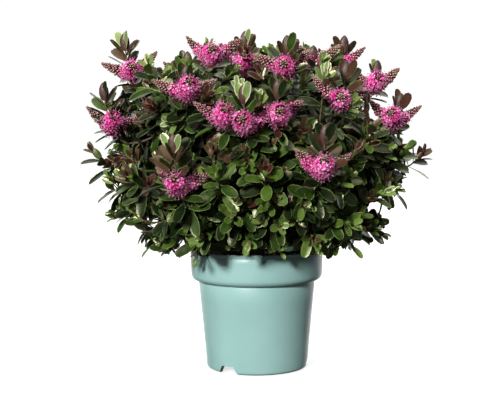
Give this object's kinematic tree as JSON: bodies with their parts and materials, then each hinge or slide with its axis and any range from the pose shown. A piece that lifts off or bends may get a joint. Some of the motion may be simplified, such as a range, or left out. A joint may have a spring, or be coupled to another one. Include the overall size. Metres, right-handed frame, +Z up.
{
  "type": "potted hebe shrub",
  "caption": "Evergreen garden shrub in flower with pink flower spikes over dark leafy shoots, growing from a round plastic nursery pot that stands flat by itself.",
  "frame": {"origin": "middle of the pot's flat underside", "axes": "+Z up through the stem, -Y towards the front of the plant, +X towards its right-hand side"},
  "size_m": [0.5149, 0.5292, 0.4837],
  "materials": {
    "pot": "satin matte",
    "soil": "rough crumbly",
    "bark": "rough bark",
    "foliage": "satin leaf"
  },
  "bodies": {
    "root": {"pot": "pot", "root_ball": "soil", "stem": "bark", "bough_low_1": "bark", "bough_low_2": "bark", "bough_low_3": "bark", "bough_low_4": "bark", "bough_low_5": "bark", "bough_low_6": "bark", "bough_low_7": "bark", "bough_mid_1": "bark", "bough_mid_2": "bark", "bough_mid_3": "bark", "bough_mid_4": "bark", "bough_mid_5": "bark", "bough_mid_6": "bark", "bough_mid_7": "bark", "bough_mid_8": "bark", "bough_high_1": "bark", "bough_high_2": "bark", "bough_high_3": "bark", "bough_high_4": "bark", "bough_high_5": "bark", "bough_high_6": "bark", "bough_top_1": "bark", "bough_top_2": "bark", "mass_low_1": "foliage", "mass_low_2": "foliage", "mass_low_3": "foliage", "mass_low_4": "foliage", "mass_low_5": "foliage", "mass_low_6": "foliage", "mass_low_7": "foliage", "mass_mid_1": "foliage", "mass_mid_2": "foliage", "mass_mid_3": "foliage", "mass_mid_4": "foliage", "mass_mid_5": "foliage", "mass_mid_6": "foliage", "mass_mid_7": "foliage", "mass_mid_8": "foliage", "mass_high_1": "foliage", "mass_high_2": "foliage", "mass_high_3": "foliage", "mass_high_4": "foliage", "mass_high_5": "foliage", "mass_high_6": "foliage", "mass_top_1": "foliage", "mass_top_2": "foliage"}
  },
  "joints": []
}
